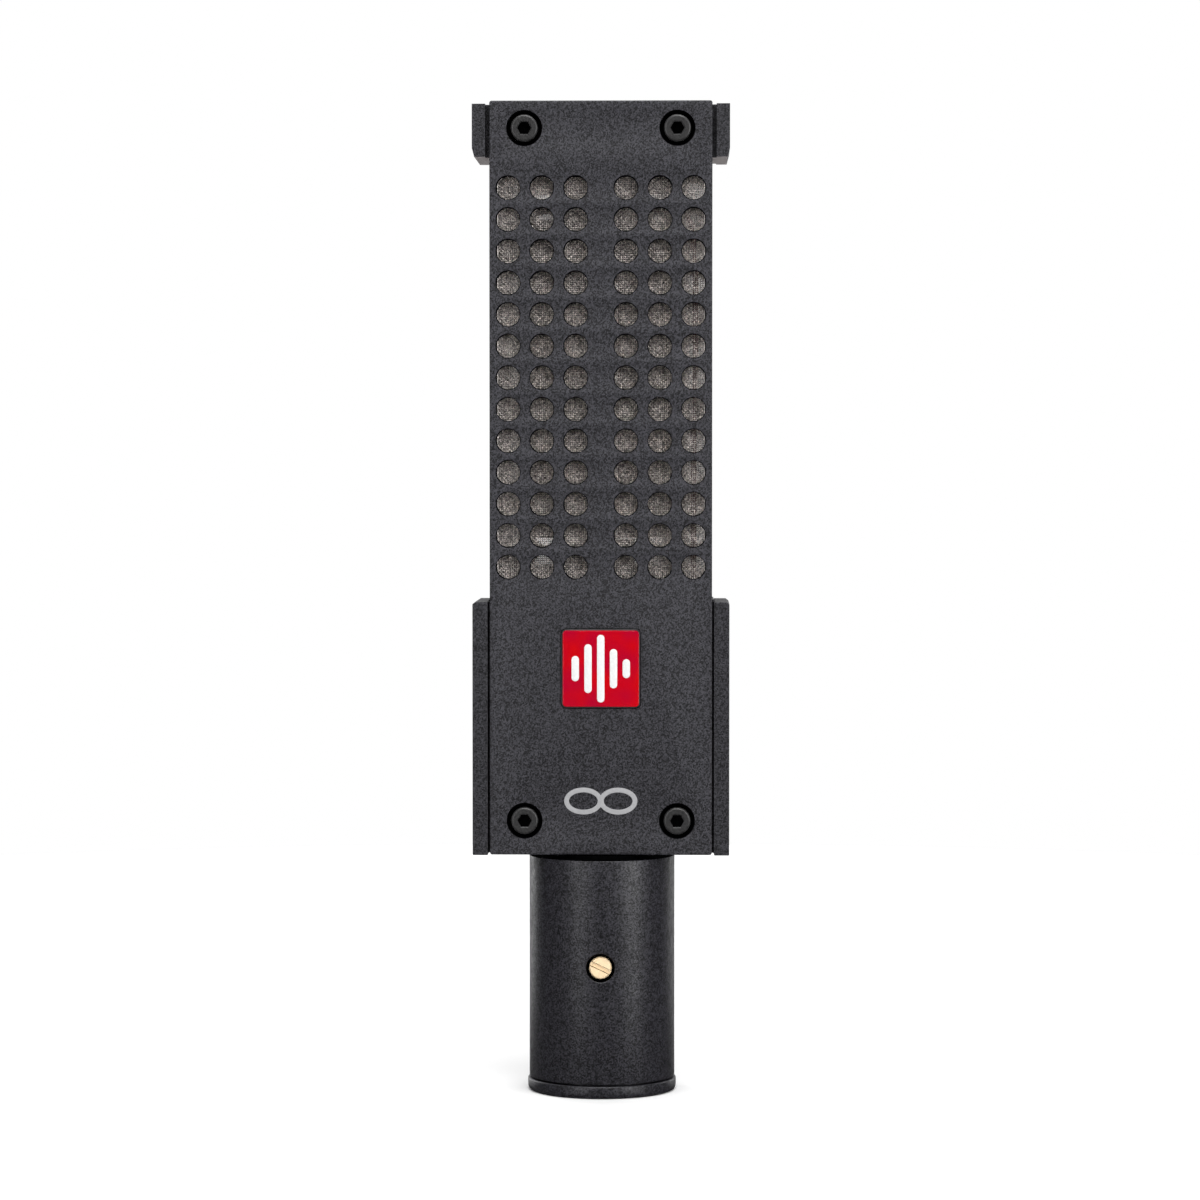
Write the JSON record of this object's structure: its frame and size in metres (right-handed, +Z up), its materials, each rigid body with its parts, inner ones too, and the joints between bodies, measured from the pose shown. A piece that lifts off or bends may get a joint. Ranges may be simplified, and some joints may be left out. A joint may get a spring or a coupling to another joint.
{
  "type": "ribbon microphone",
  "caption": "Slab-bodied ribbon microphone with perforated front and rear plates, side wings and a round stem with an output connector.",
  "frame": {"origin": "centre of the end ring's bottom face, on the stem's axis", "axes": "+Z up the body, away from the connector; -Y out of the front plate, which bears the badge; +X to the right as seen from the front"},
  "size_m": [0.0428, 0.025, 0.1658],
  "materials": {
    "body_paint": "matt charcoal powder coat",
    "stem_paint": "satin dark grey powder coat",
    "black_steel": "black oxide",
    "badge_red": "red enamel with a white mark",
    "wire_mesh": "woven wire",
    "rubber": "soft matt",
    "steel": "ground steel",
    "magnet": "nickel plated",
    "foil": "corrugated foil",
    "laminate": "resin laminate",
    "copper": "enamelled copper wire",
    "can": "drawn shielding alloy",
    "connector_plastic": "moulded",
    "silver": "silver plated",
    "brass": "bright brass",
    "red_wire": "wire insulation",
    "blue_wire": "wire insulation",
    "black_wire": "wire insulation"
  },
  "bodies": {
    "microphone": {"front_plate": "body_paint", "rear_plate": "body_paint", "lower_bracket": "body_paint", "top_bracket": "body_paint", "cross_bar": "body_paint", "badge": "badge_red", "front_screw_top_left": "black_steel", "front_screw_top_right": "black_steel", "front_screw_bottom_left": "black_steel", "front_screw_bottom_right": "black_steel", "rear_screw_top_left": "black_steel", "rear_screw_top_right": "black_steel", "rear_screw_bottom_left": "black_steel", "rear_screw_bottom_right": "black_steel", "left_wing_screw": "black_steel", "right_wing_screw": "black_steel", "left_motor_screw": "black_steel", "right_motor_screw": "black_steel", "front_screen": "wire_mesh", "rear_screen": "wire_mesh", "left_side_screen": "wire_mesh", "right_side_screen": "wire_mesh", "top_damper_pad": "rubber", "bottom_damper_pad": "rubber", "motor_top_plate": "steel", "motor_bottom_plate": "steel", "left_yoke_rail": "steel", "right_yoke_rail": "steel", "left_pole_piece": "steel", "right_pole_piece": "steel", "transformer_core": "steel", "top_clamp_screw_left": "steel", "top_clamp_screw_right": "steel", "bottom_clamp_screw_left": "steel", "bottom_clamp_screw_right": "steel", "left_magnet": "magnet", "right_magnet": "magnet", "top_ribbon_base": "laminate", "bottom_ribbon_base": "laminate", "top_ribbon_clamp": "brass", "bottom_ribbon_clamp": "brass", "transformer_can": "can", "transformer_lid": "can", "transformer_winding": "copper", "stem_tube": "stem_paint", "end_ring": "stem_paint", "connector_insert": "connector_plastic", "connector_pin_1": "silver", "connector_pin_2": "silver", "connector_pin_3": "silver", "top_ribbon_lead": "red_wire", "output_lead_2": "red_wire", "bottom_ribbon_lead": "black_wire", "output_lead_1": "black_wire", "output_lead_3": "blue_wire"},
    "ribbon_strip": {"ribbon": "foil"},
    "locking_screw": {"lock_screw": "brass"}
  },
  "joints": [
    {"name": "ribbon_travel", "type": "slide", "parent": "microphone", "child": "ribbon_strip", "axis": [0, 1, 0], "range_m": [-0.0003, 0.0003], "stiffness_N_per_m": 8},
    {"name": "lock_screw_turn", "type": "hinge", "parent": "microphone", "child": "locking_screw", "pos_m": [0, -0.01195, 0.0219], "axis": [0, -1, 0], "range_deg": [0, 450]}
  ]
}
